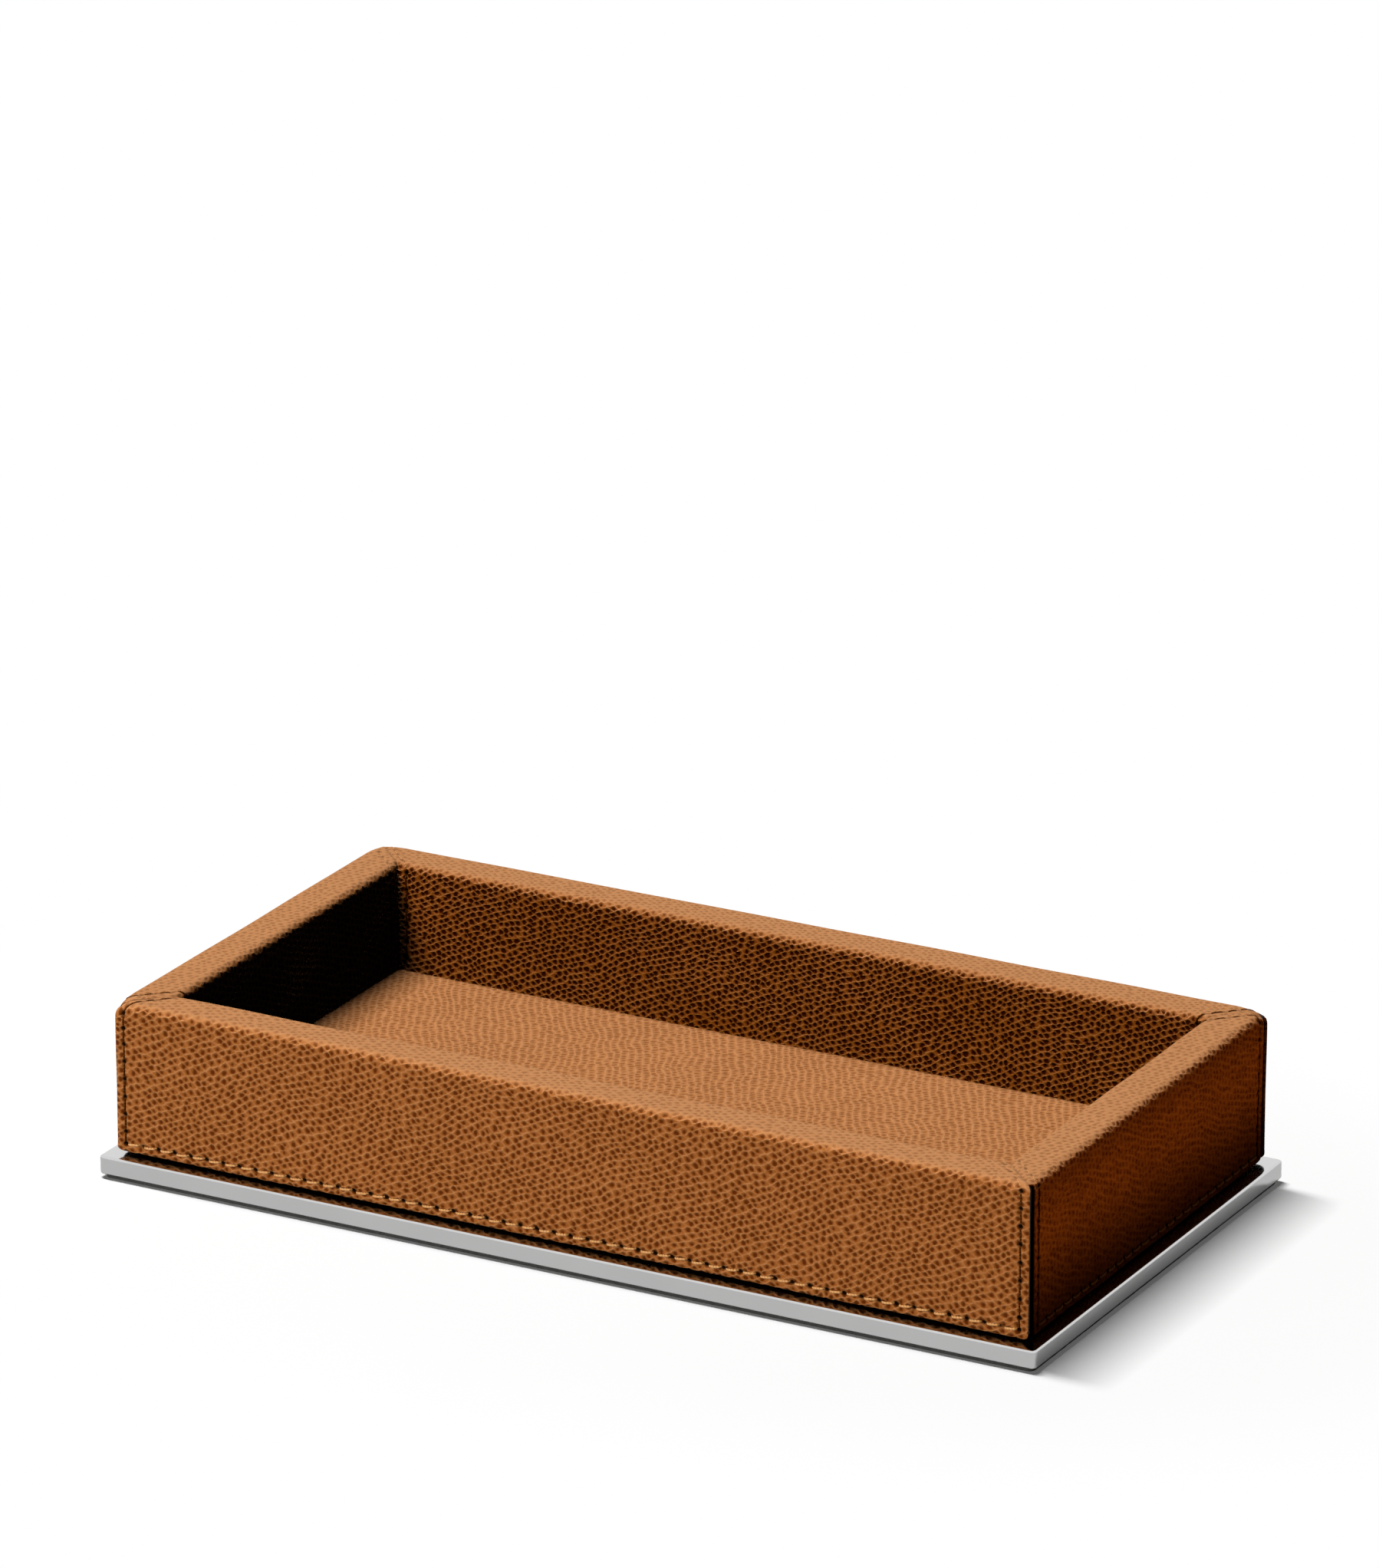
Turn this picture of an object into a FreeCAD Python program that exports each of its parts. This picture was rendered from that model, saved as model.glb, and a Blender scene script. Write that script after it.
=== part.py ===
"""Valet tray: a leather-covered box with a mitred wooden carcass on a polished metal plate.

Millimetres, +Z up, origin under the middle of the pad that the tray stands on. The front is -Y.
A wall is drawn lying along X, with Y counted inwards from its outer leather and Z upwards from the
top of the plate, and is then turned to its side of the tray.
"""
import FreeCAD, Part
import os
import Sketcher

doc = FreeCAD.newDocument("valet_tray")

# Driving dimensions
driving_sizes = {
    # the box, measured over its leather and from the top of the plate
    "tray_length": 300.0,
    "tray_depth": 155.5,
    "rim_height": 47.95,
    "shadow_gap": 0.8,
    # a wall: a board with leather on both faces, rounded over the rim and turned under at the hem
    "board_thick": 11.4,
    "leather_thick": 1.2,
    "rim_round": 2.2,
    "hem_round": 1.6,
    "hem_turn": 8.0,
    # how far the covers stop short of an outer corner, on the long and on the short walls: the notch
    "long_wall_notch": 0.35,
    "short_wall_notch": 2.5,
    # the floor of the well
    "floor_level": 13.6,
    "card_thick": 2.0,
    "lining_round": 0.9,
    "fit_gap": 0.15,
    # the tongue round the floor board, by the rebates below and above it
    "tongue_reach": 3.0,
    "tongue_rebate_below": 4.2,
    "tongue_rebate_above": 2.0,
    # the splines in the corner mitres
    "spline_thick": 3.0,
    "spline_reach": 4.4,
    "spline_below_top": 9.0,
    # the plate and the pad under it
    "plate_margin": 4.0,
    "plate_thick": 5.0,
    "plate_corner": 1.0,
    "plate_edge": 0.5,
    "pad_thick": 2.0,
    "pad_inset": 1.2,
    "pad_corner": 2.0,
    # the countersunk screws from the plate into the floor board
    "screw_head": 7.6,
    "screw_shank": 3.8,
    "screw_bite": 7.5,
    "screw_tip": 2.5,
    "screw_hole_gap": 0.3,
    "screw_side_inset": 35.0,
    "screw_end_inset": 45.0,
    # how far a cut runs past what it cuts
    "overrun": 2.0,
}
sheet = doc.addObject("Spreadsheet::Sheet", "sizes")
for row, (alias, size) in enumerate(driving_sizes.items(), start=1):
    sheet.set(f"A{row}", alias)
    sheet.set(f"B{row}", str(size))
    sheet.setAlias(f"B{row}", alias)
doc.recompute()

# Sizes that follow from the driving ones, as expressions on the sheet
rim_width = "(sizes.board_thick + 2 * sizes.leather_thick)"
plate_top = "(sizes.pad_thick + sizes.plate_thick)"
board_foot = "(sizes.shadow_gap + sizes.leather_thick)"
board_top = "(sizes.rim_height - sizes.leather_thick)"
board_inner = "(sizes.leather_thick + sizes.board_thick)"
board_middle = "(sizes.leather_thick + sizes.board_thick / 2)"
board_round = "(sizes.rim_round - sizes.leather_thick)"
floor_board_thick = "(sizes.floor_level - sizes.leather_thick - sizes.card_thick)"
tongue_top = f"({floor_board_thick} - sizes.tongue_rebate_above)"
spline_top = f"({board_top} - sizes.spline_below_top)"

long_wall = {"length": "sizes.tray_length", "notch": "sizes.long_wall_notch"}
short_wall = {"length": "sizes.tray_depth", "notch": "sizes.short_wall_notch"}
walls = {
    "front": {**long_wall, "turn": 0, "across": "0", "along": "-sizes.tray_depth / 2"},
    "right": {**short_wall, "turn": 90, "across": "sizes.tray_length / 2", "along": "0"},
    "back": {**long_wall, "turn": 180, "across": "0", "along": "sizes.tray_depth / 2"},
    "left": {**short_wall, "turn": 270, "across": "-sizes.tray_length / 2", "along": "0"},
}
parts = []


def number(expression):
    """Value of an expression on the sheet."""
    return float(sheet.evalExpression(expression))


def new_body(label):
    """Empty body that will be written out under its label."""
    body = doc.addObject("PartDesign::Body", label)
    body.Label = label
    parts.append(body)
    return body


def place(body, across, along, up, turn=0):
    """Turn a body about Z and carry it to three expressions."""
    body.Placement = FreeCAD.Placement(FreeCAD.Vector(), FreeCAD.Rotation(FreeCAD.Vector(0, 0, 1), turn))
    for axis, expression in (("x", across), ("y", along), ("z", up)):
        body.setExpression(f"Placement.Base.{axis}", expression)


def new_sketch(body, role, lift="0"):
    """Empty sketch on one of a body's own origin planes, lifted along the plane's normal."""
    sketch = body.newObject("Sketcher::SketchObject", "outline")
    plane = next(feature for feature in body.Origin.OriginFeatures if feature.Role == role)
    sketch.AttachmentSupport = [(plane, "")]
    sketch.MapMode = "FlatFace"
    sketch.setExpression("AttachmentOffset.Base.z", lift)
    return sketch


def hold_point(sketch, geometry, end, across, up):
    """Tie one point of a sketch to two expressions."""
    for kind, expression in (("DistanceX", across), ("DistanceY", up)):
        tie = sketch.addConstraint(Sketcher.Constraint(kind, -1, 1, geometry, end, number(expression)))
        sketch.setExpression(f"Constraints[{tie}]", expression)


def polygon(sketch, corners):
    """Closed straight-sided outline whose corners are pairs of expressions."""
    first = sketch.GeometryCount
    points = [FreeCAD.Vector(number(across), number(up), 0) for across, up in corners]
    following = points[1:] + points[:1]
    for start, end in zip(points, following):
        sketch.addGeometry(Part.LineSegment(start, end), False)
    for index, (across, up) in enumerate(corners):
        neighbour = first + (index + 1) % len(corners)
        sketch.addConstraint(Sketcher.Constraint("Coincident", first + index, 2, neighbour, 1))
        hold_point(sketch, first + index, 1, across, up)


def rectangle(sketch, left, right, low, high):
    """Closed rectangle between four expressions."""
    polygon(sketch, [(left, low), (right, low), (right, high), (left, high)])


def centred_rectangle(sketch, length, depth):
    """Closed rectangle about the sketch's origin."""
    rectangle(sketch, f"-({length}) / 2", f"({length}) / 2", f"-({depth}) / 2", f"({depth}) / 2")


def both_ends(sketch, corners):
    """An outline drawn at the left end of a wall, and its mirror image at the right end."""
    polygon(sketch, corners)
    polygon(sketch, [(f"-({across})", up) for across, up in reversed(corners)])


def circles(sketch, centres, diameter):
    """Circles of one diameter about pairs of expressions."""
    for across, up in centres:
        middle = FreeCAD.Vector(number(across), number(up), 0)
        ring = Part.Circle(middle, FreeCAD.Vector(0, 0, 1), number(diameter) / 2)
        geometry = sketch.addGeometry(ring, False)
        hold_point(sketch, geometry, 3, across, up)
        tie = sketch.addConstraint(Sketcher.Constraint("Diameter", geometry, number(diameter)))
        sketch.setExpression(f"Constraints[{tie}]", diameter)


def extrude(body, kind, sketch, length, side="Symmetric", reverse=False):
    """Pad or pocket of a sketch, by an expression."""
    feature = body.newObject(f"PartDesign::{kind}", kind.lower())
    feature.Profile = sketch
    feature.SideType = side
    feature.Reversed = reverse
    feature.setExpression("Length", length)
    doc.recompute()


same_place_share = 0.001


def same(first, second):
    """True where two coordinates coincide."""
    return abs(first - second) < same_place_share * driving_sizes["leather_thick"]


def round_edges(body, wanted, radius):
    """Fillet of the edges of a body whose two ends satisfy a test."""
    solid = body.Tip
    names = []
    for index, edge in enumerate(solid.Shape.Edges, start=1):
        ends = [vertex.Point for vertex in edge.Vertexes]
        if len(ends) == 2 and wanted(*ends):
            names.append(f"Edge{index}")
    fillet = body.newObject("PartDesign::Fillet", "fillet")
    fillet.Base = (solid, names)
    fillet.setExpression("Radius", radius)
    doc.recompute()


def upright(start, end):
    """Test for an edge that stands up."""
    return same(start.x, end.x) and same(start.y, end.y)


def level_at(height):
    """Test for an edge that lies level at an expression."""
    return lambda start, end: same(start.z, number(height)) and same(end.z, number(height))


def lengthwise_at(depth, height):
    """Test for an edge that runs along a wall at two expressions of its section."""
    level = level_at(height)
    return lambda start, end: level(start, end) and same(start.y, number(depth)) and same(end.y, number(depth))


def screw_centres():
    """Plan positions of the six screws: two rows of three."""
    column = "(sizes.tray_length / 2 - sizes.screw_end_inset)"
    row = "(sizes.tray_depth / 2 - sizes.screw_side_inset)"
    return [(f"{column} * ({x})", f"{row} * ({y})") for y in (-1, 1) for x in (-1, 0, 1)]


def make_base_pad():
    """Dense felt under the plate, set in from its edge: what the tray stands on."""
    body = new_body("base_pad")
    sketch = new_sketch(body, "XY_Plane")
    reach = "2 * (sizes.plate_margin - sizes.pad_inset)"
    centred_rectangle(sketch, f"sizes.tray_length + {reach}", f"sizes.tray_depth + {reach}")
    extrude(body, "Pad", sketch, "sizes.pad_thick", "One side")
    round_edges(body, upright, "sizes.pad_corner")


def make_base_plate():
    """Polished plate with eased edges, countersunk from below for the screws."""
    body = new_body("base_plate")
    place(body, "0", "0", "sizes.pad_thick")
    sketch = new_sketch(body, "XY_Plane")
    reach = "2 * sizes.plate_margin"
    centred_rectangle(sketch, f"sizes.tray_length + {reach}", f"sizes.tray_depth + {reach}")
    extrude(body, "Pad", sketch, "sizes.plate_thick", "One side")
    round_edges(body, upright, "sizes.plate_corner")
    round_edges(body, level_at("0"), "sizes.plate_edge")
    round_edges(body, level_at("sizes.plate_thick"), "sizes.plate_edge")
    drilled = new_sketch(body, "XY_Plane")
    circles(drilled, screw_centres(), "sizes.screw_shank + sizes.screw_hole_gap")
    doc.recompute()
    hole = body.newObject("PartDesign::Hole", "screw_holes")
    hole.Profile = drilled
    hole.Reversed = True
    hole.DepthType = "ThroughAll"
    hole.setExpression("Diameter", "sizes.screw_shank + sizes.screw_hole_gap")
    hole.HoleCutType = "Countersink"
    hole.HoleCutCustomValues = True
    hole.HoleCutCountersinkAngle = 90
    hole.setExpression("HoleCutDiameter", "sizes.screw_head + sizes.screw_hole_gap")
    doc.recompute()


def make_base_screws():
    """Six countersunk wood screws, heads flush with the underside of the plate."""
    body = new_body("base_screws")
    body.AllowCompound = True
    across, along = screw_centres()[0]
    place(body, across, along, "sizes.pad_thick")
    sketch = new_sketch(body, "XZ_Plane")
    head = "sizes.screw_head / 2"
    shank = "sizes.screw_shank / 2"
    length = "(sizes.plate_thick + sizes.screw_bite)"
    polygon(sketch, [
        ("0", "0"),
        (head, "0"),
        (shank, f"{head} - {shank}"),
        (shank, f"{length} - sizes.screw_tip"),
        ("0", length),
    ])
    turned = body.newObject("PartDesign::Revolution", "screw")
    turned.Profile = sketch
    turned.ReferenceAxis = (sketch, ["V_Axis"])
    doc.recompute()
    copies = body.newObject("PartDesign::MultiTransform", "screw_rows")
    copies.Originals = [turned]
    rows = []
    for role, span, inset, count in (
        ("X_Axis", "sizes.tray_length", "sizes.screw_end_inset", 3),
        ("Y_Axis", "sizes.tray_depth", "sizes.screw_side_inset", 2),
    ):
        pattern = body.newObject("PartDesign::LinearPattern", "screw_row")
        axis = next(feature for feature in body.Origin.OriginFeatures if feature.Role == role)
        pattern.Direction = (axis, [""])
        pattern.Occurrences = count
        pattern.setExpression("Length", f"{span} - 2 * {inset}")
        rows.append(pattern)
    copies.Transformations = rows
    body.Tip = copies
    doc.recompute()


def make_floor_board():
    """Floor of the carcass, tongued into the walls and standing proud below them on the plate."""
    body = new_body("floor_board")
    place(body, "0", "0", plate_top)
    room = f"2 * ({board_inner} + sizes.fit_gap)"
    sketch = new_sketch(body, "XY_Plane")
    centred_rectangle(sketch, f"sizes.tray_length - {room}", f"sizes.tray_depth - {room}")
    extrude(body, "Pad", sketch, floor_board_thick, "One side")
    room = f"2 * ({board_inner} - sizes.tongue_reach)"
    tongue = new_sketch(body, "XY_Plane", "sizes.tongue_rebate_below")
    centred_rectangle(tongue, f"sizes.tray_length - {room}", f"sizes.tray_depth - {room}")
    extrude(body, "Pad", tongue, f"{tongue_top} - sizes.tongue_rebate_below", "One side")
    drilled = new_sketch(body, "XY_Plane")
    circles(drilled, screw_centres(), "sizes.screw_shank + sizes.screw_hole_gap")
    extrude(body, "Pocket", drilled, "sizes.screw_bite + sizes.screw_hole_gap", "One side", True)


def cut_mitres(body, length):
    """Cut both ends of a wall back at 45 degrees, from its outer corner to its inner one."""
    sketch = new_sketch(body, "XY_Plane")
    end = f"-{length} / 2"
    both_ends(sketch, [
        (f"{end} - sizes.overrun", "-sizes.overrun"),
        (f"{end} + {rim_width} + sizes.overrun", f"{rim_width} + sizes.overrun"),
        (f"{end} - sizes.overrun", f"{rim_width} + sizes.overrun"),
    ])
    extrude(body, "Pocket", sketch, "2 * (sizes.rim_height + sizes.overrun)")


def cut_spline_slots(body, length):
    """Slot in each mitred end, square to the mitre, open at the foot and stopped below the rim."""
    sketch = new_sketch(body, "XY_Plane", board_foot)
    half_slot = "(sizes.spline_thick / 2 + sizes.fit_gap)"
    slot_depth = "(sizes.spline_reach + sizes.fit_gap)"
    corners = []
    for along_mitre, into_board in (
        (f"(-{half_slot})", "(-sizes.overrun)"),
        (f"(-{half_slot})", slot_depth),
        (half_slot, slot_depth),
        (half_slot, "(-sizes.overrun)"),
    ):
        corners.append((
            f"-{length} / 2 + {board_middle} + ({along_mitre} + {into_board}) * sqrt(1 / 2)",
            f"{board_middle} + ({along_mitre} - {into_board}) * sqrt(1 / 2)",
        ))
    both_ends(sketch, corners)
    extrude(body, "Pocket", sketch, f"{spline_top} - {board_foot}", "One side", True)


def make_board(name, wall):
    """Wall board: rounded along the rim, grooved for the floor, mitred and slotted at both ends."""
    body = new_body(f"{name}_board")
    place(body, wall["across"], wall["along"], plate_top, wall["turn"])
    section = new_sketch(body, "YZ_Plane")
    rectangle(section, "sizes.leather_thick", board_inner, board_foot, board_top)
    extrude(body, "Pad", section, wall["length"])
    round_edges(body, lengthwise_at("sizes.leather_thick", board_top), board_round)
    round_edges(body, lengthwise_at(board_inner, board_top), board_round)
    groove = new_sketch(body, "YZ_Plane")
    rectangle(
        groove,
        f"{board_inner} - sizes.tongue_reach - sizes.fit_gap",
        f"{board_inner} + sizes.overrun",
        "sizes.tongue_rebate_below - sizes.fit_gap",
        f"{tongue_top} + sizes.fit_gap",
    )
    extrude(body, "Pocket", groove, f"{wall['length']} + sizes.overrun")
    cut_mitres(body, wall["length"])
    cut_spline_slots(body, wall["length"])


def make_spline(name, end, side, turn):
    """Loose tongue glued across a corner mitre: end and side are -1 or 1 along X and Y."""
    body = new_body(f"{name}_spline")
    across = f"(sizes.tray_length / 2 - {board_middle}) * ({end})"
    along = f"(sizes.tray_depth / 2 - {board_middle}) * ({side})"
    place(body, across, along, f"{plate_top} + {board_foot}", turn)
    sketch = new_sketch(body, "XY_Plane")
    centred_rectangle(sketch, "sizes.spline_thick", "2 * sizes.spline_reach")
    extrude(body, "Pad", sketch, f"{spline_top} - {board_foot} - sizes.fit_gap", "One side")


def make_cover(name, wall):
    """Leather over one wall: turned under at the hem, up the outer face, over the rim and down to the floor.

    The block of the whole wall is hollowed to the leather's thickness, rounded inside and out and mitred.
    The ends of its outer face are then cut square, short of the corner, up to where the mitre takes over,
    which leaves a notch down the corner between two covers.
    """
    body = new_body(f"{name}_cover")
    length = wall["length"]
    place(body, wall["across"], wall["along"], plate_top, wall["turn"])
    section = new_sketch(body, "YZ_Plane")
    rectangle(section, "0", rim_width, "sizes.shadow_gap", "sizes.rim_height")
    extrude(body, "Pad", section, length)
    hollow = new_sketch(body, "YZ_Plane")
    turned_edge = "sizes.leather_thick + sizes.hem_turn"
    polygon(hollow, [
        ("sizes.leather_thick", board_foot),
        ("sizes.leather_thick", board_top),
        (board_inner, board_top),
        (board_inner, floor_board_thick),
        (f"{rim_width} + sizes.overrun", floor_board_thick),
        (f"{rim_width} + sizes.overrun", "sizes.shadow_gap - sizes.overrun"),
        (turned_edge, "sizes.shadow_gap - sizes.overrun"),
        (turned_edge, board_foot),
    ])
    extrude(body, "Pocket", hollow, f"{length} + sizes.overrun")
    round_edges(body, lengthwise_at("sizes.leather_thick", board_top), board_round)
    round_edges(body, lengthwise_at(board_inner, board_top), board_round)
    round_edges(body, lengthwise_at("0", "sizes.rim_height"), "sizes.rim_round")
    round_edges(body, lengthwise_at(rim_width, "sizes.rim_height"), "sizes.rim_round")
    round_edges(body, lengthwise_at("0", "sizes.shadow_gap"), "sizes.hem_round")
    cut_mitres(body, length)
    notch = new_sketch(body, "XZ_Plane")
    end = f"-{length} / 2"
    both_ends(notch, [
        (f"{end} - sizes.overrun", "-sizes.overrun"),
        (f"{end} + {wall['notch']}", "-sizes.overrun"),
        (f"{end} + {wall['notch']}", "sizes.rim_height + sizes.overrun"),
        (f"{end} - sizes.overrun", "sizes.rim_height + sizes.overrun"),
    ])
    extrude(body, "Pocket", notch, f"2 * {wall['notch']}")


def make_floor_card():
    """Stiff card that the floor lining is turned round."""
    body = new_body("floor_card")
    place(body, "0", "0", f"{plate_top} + {floor_board_thick}")
    sketch = new_sketch(body, "XY_Plane")
    room = f"2 * ({rim_width} + sizes.leather_thick + 2 * sizes.fit_gap)"
    centred_rectangle(sketch, f"sizes.tray_length - {room}", f"sizes.tray_depth - {room}")
    extrude(body, "Pad", sketch, "sizes.card_thick", "One side")


def make_floor_lining():
    """Leather on the floor of the well, turned down round its card."""
    body = new_body("floor_lining")
    place(body, "0", "0", f"{plate_top} + {floor_board_thick}")
    sketch = new_sketch(body, "XY_Plane")
    room = f"2 * ({rim_width} + sizes.fit_gap)"
    centred_rectangle(sketch, f"sizes.tray_length - {room}", f"sizes.tray_depth - {room}")
    extrude(body, "Pad", sketch, "sizes.card_thick + sizes.leather_thick", "One side")
    round_edges(body, upright, "sizes.lining_round")
    round_edges(body, level_at("sizes.card_thick + sizes.leather_thick"), "sizes.lining_round")
    underside = new_sketch(body, "XY_Plane")
    room = f"2 * ({rim_width} + sizes.leather_thick + sizes.fit_gap)"
    centred_rectangle(underside, f"sizes.tray_length - {room}", f"sizes.tray_depth - {room}")
    extrude(body, "Pocket", underside, "sizes.card_thick", "One side", True)


make_base_pad()
make_base_plate()
make_base_screws()
make_floor_board()
for wall_name, wall in walls.items():
    make_board(wall_name, wall)
make_spline("front_left", -1, -1, 45)
make_spline("front_right", 1, -1, -45)
make_spline("back_left", -1, 1, -45)
make_spline("back_right", 1, 1, 45)
for wall_name, wall in walls.items():
    make_cover(wall_name, wall)
make_floor_card()
make_floor_lining()

# Check every object, then write each piece to its own file
doc.recompute()
failed = [item.Label for item in doc.Objects if "Invalid" in item.State or "Error" in item.State]
failed += [body.Label for body in parts if body.Shape.isNull() or not body.Shape.isValid()]
if failed:
    raise RuntimeError(f"these did not build: {failed}")
os.makedirs("parts", exist_ok=True)
for body in parts:
    body.Shape.exportStep(f"parts/{body.Label}.step")
    print(f"{body.Label}: {len(body.Shape.Solids)} solid(s), {body.Shape.Volume:.1f} mm3")
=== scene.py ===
"""The looks of a leather valet tray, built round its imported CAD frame, in metres in the CAD's frame."""

import bpy
import numpy as np
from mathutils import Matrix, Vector


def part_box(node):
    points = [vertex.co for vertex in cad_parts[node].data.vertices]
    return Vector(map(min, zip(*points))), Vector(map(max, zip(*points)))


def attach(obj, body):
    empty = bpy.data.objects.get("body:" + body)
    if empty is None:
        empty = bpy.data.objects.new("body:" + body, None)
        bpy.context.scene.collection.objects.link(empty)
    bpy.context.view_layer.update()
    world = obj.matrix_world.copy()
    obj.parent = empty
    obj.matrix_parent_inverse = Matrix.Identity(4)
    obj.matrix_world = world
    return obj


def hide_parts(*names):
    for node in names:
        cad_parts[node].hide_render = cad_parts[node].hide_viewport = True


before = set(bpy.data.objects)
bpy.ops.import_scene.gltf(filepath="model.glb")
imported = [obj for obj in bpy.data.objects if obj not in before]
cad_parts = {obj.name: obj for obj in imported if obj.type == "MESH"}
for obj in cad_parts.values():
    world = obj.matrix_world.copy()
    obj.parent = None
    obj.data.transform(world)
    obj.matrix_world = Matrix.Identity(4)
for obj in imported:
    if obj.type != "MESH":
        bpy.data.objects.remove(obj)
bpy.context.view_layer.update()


# Base pad: a sheet of dense dark grey felt, die-cut a little smaller than the plate and glued
# under it, so that the metal never touches the table. Its cut edge is soft and a little uneven.

MM = 0.001
CREASE = 1.2
PAD_CORNER = 2.0 * MM
PAD_EDGE = 0.3 * MM
PAD_COUNT = 900
PAD_RINGS = 4
PAD_HAIR = 0.05 * MM
# The felt shows this much thinner than its solid, and the plate on it as much deeper.
PAD_SINK = 0.7 * MM


class Wire:
    """A socket in a material's nodes. Sums on wires add Math nodes, and node() adds any other node."""

    def __init__(self, tree, socket=None):
        self.tree = tree
        self.socket = socket

    def feed(self, node, inputs):
        """Gives each named or numbered input of a node its value, or a link from a wire."""
        for name, value in inputs.items():
            if isinstance(value, Wire):
                self.tree.links.new(value.socket, node.inputs[name])
            else:
                node.inputs[name].default_value = value

    def node(self, kind, settings, inputs, output=0):
        """Adds a node, with its settings first and its inputs after them, and gives one of its outputs."""
        made = self.tree.nodes.new(kind)
        for name, value in settings.items():
            setattr(made, name, value)
        self.feed(made, inputs)
        return Wire(self.tree, made.outputs[output])

    def math(self, operation, *values):
        """One Math node on these values."""
        return self.node("ShaderNodeMath", {"operation": operation}, dict(enumerate(values)))

    def __add__(self, other):
        return self.math("ADD", self, other)

    def __radd__(self, other):
        return self.math("ADD", other, self)

    def __sub__(self, other):
        return self.math("SUBTRACT", self, other)

    def __rsub__(self, other):
        return self.math("SUBTRACT", other, self)

    def __mul__(self, other):
        return self.math("MULTIPLY", self, other)

    def __rmul__(self, other):
        return self.math("MULTIPLY", other, self)

    def __truediv__(self, other):
        return self.math("DIVIDE", self, other)

    def step(self, start, end):
        """0 before start and 1 past end, with a smooth S between them; start may be the larger."""
        return self.node("ShaderNodeMapRange", {"interpolation_type": "SMOOTHSTEP"},
                         {"Value": self, "From Min": start, "From Max": end})

    def blend(self, first, second):
        """The first colour where this wire is 0, the second where it is 1, and a mix between."""
        return self.node("ShaderNodeMix", {"data_type": "RGBA"}, {0: self, 6: first, 7: second}, 2)

    def noise(self, place, scale, detail=2.0, output=0):
        """Fractal noise of about one lump to 1/scale units of place."""
        inputs = {"Vector": place, "Scale": scale, "Detail": detail}
        return self.node("ShaderNodeTexNoise", {}, inputs, output)

    def bump(self, height, distance):
        """A bumped normal, from heights in units of distance."""
        return self.node("ShaderNodeBump", {}, {"Height": height, "Distance": distance})

    def axis(self, number):
        """One of the three numbers of a place."""
        return self.node("ShaderNodeSeparateXYZ", {}, {"Vector": self}, number)

    def place(self):
        """The place on the piece, in metres."""
        return self.node("ShaderNodeTexCoord", {}, {}, "Object")

    def mark(self, name):
        """How far the piece is treated here, from one of its marks."""
        return self.node("ShaderNodeAttribute", {"attribute_name": name}, {}, "Fac")

    def ray(self, kind):
        """1 for a ray of this kind, or what is counted of it."""
        return self.node("ShaderNodeLightPath", {}, {}, kind)


def new_finish(name):
    """A new material, a bare wire in its nodes, and its shader."""
    material = bpy.data.materials.new(name)
    material.use_nodes = True
    return material, Wire(material.node_tree), material.node_tree.nodes["Principled BSDF"]


def colour(red, green, blue):
    """An opaque colour, in linear light."""
    return (red, green, blue, 1.0)


def walk(start, heading, legs, samples):
    """A path on the flat that walks legs of (length, turn), turning at an even rate along each leg.
    Its heading is the running total of the turns, and its place the running sum of the heading's
    cosine and sine. Gives the length walked, the places and the headings at even steps."""
    lengths = np.array([leg[0] for leg in legs])
    turns = np.array([leg[1] for leg in legs])
    marks = np.concatenate([[0.0], np.cumsum(lengths)])
    headings = heading + np.concatenate([[0.0], np.cumsum(turns)])
    walked = np.linspace(0.0, marks[-1], samples)
    middle = 0.5 * (walked[1:] + walked[:-1])
    toward = np.interp(middle, marks, headings)
    steps = np.diff(walked)[:, None] * np.stack([np.cos(toward), np.sin(toward)], -1)
    places = np.array(start) + np.concatenate([np.zeros((1, 2)), np.cumsum(steps, 0)])
    return walked, places, np.interp(walked, marks, headings)


def rounded_outline(half_x, half_y, corner, count):
    """Points round a rectangle with quarter-circle corners, anticlockwise from the middle of its
    right side, and the outward direction at each point."""
    side_x = half_x - corner
    side_y = half_y - corner
    bend = (corner * np.pi / 2, np.pi / 2)
    legs = [(side_y, 0), bend, (2 * side_x, 0), bend, (2 * side_y, 0), bend, (2 * side_x, 0), bend,
            (side_y, 0)]
    fine = 40
    _, places, headings = walk((half_x, 0.0), np.pi / 2, legs, fine * count + 1)
    picks = np.arange(0, fine * count, fine)
    outward = np.stack([np.sin(headings), -np.cos(headings)], -1)
    return places[picks], outward[picks]


def rounded_slab(half_x, half_y, corner, low, high, edge, count, rings):
    """A slab with rounded corners and edges: its outline is carried round a section that runs from the
    middle of the underside to the edge, up it in two quarter-rounds, and back to the middle of the top.
    On the flats each ring is the outline shrunk towards the slab's middle line, by a small step at first,
    which keeps the flat's shading flat, and then by even steps."""
    points, outward = rounded_outline(half_x, half_y, corner, count)
    quarter = np.linspace(0.0, np.pi / 2, 6)
    inset = edge * np.concatenate([1 - np.sin(quarter), 1 - np.cos(quarter)])
    height = np.concatenate([low + edge * (1 - np.cos(quarter)), high - edge * (1 - np.sin(quarter))])
    rim = points[None] - inset[:, None, None] * outward[None]
    middle = np.stack([np.clip(points[:, 0], half_y - half_x, half_x - half_y), np.zeros(count)], -1)
    first_step = 0.006
    last_step = 0.985
    shrink = np.append(first_step, np.linspace(0.0, last_step, rings)[1:])[:, None, None]
    under = rim[:1] + shrink * (middle[None] - rim[:1])
    over = rim[-1:] + shrink * (middle[None] - rim[-1:])
    plan = np.concatenate([under[::-1], rim, over])
    levels = np.concatenate([np.full(rings, low), height, np.full(rings, high)])
    levels = np.broadcast_to(levels[:, None, None], plan.shape[:2] + (1,))
    return np.concatenate([plan, levels], -1)


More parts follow.
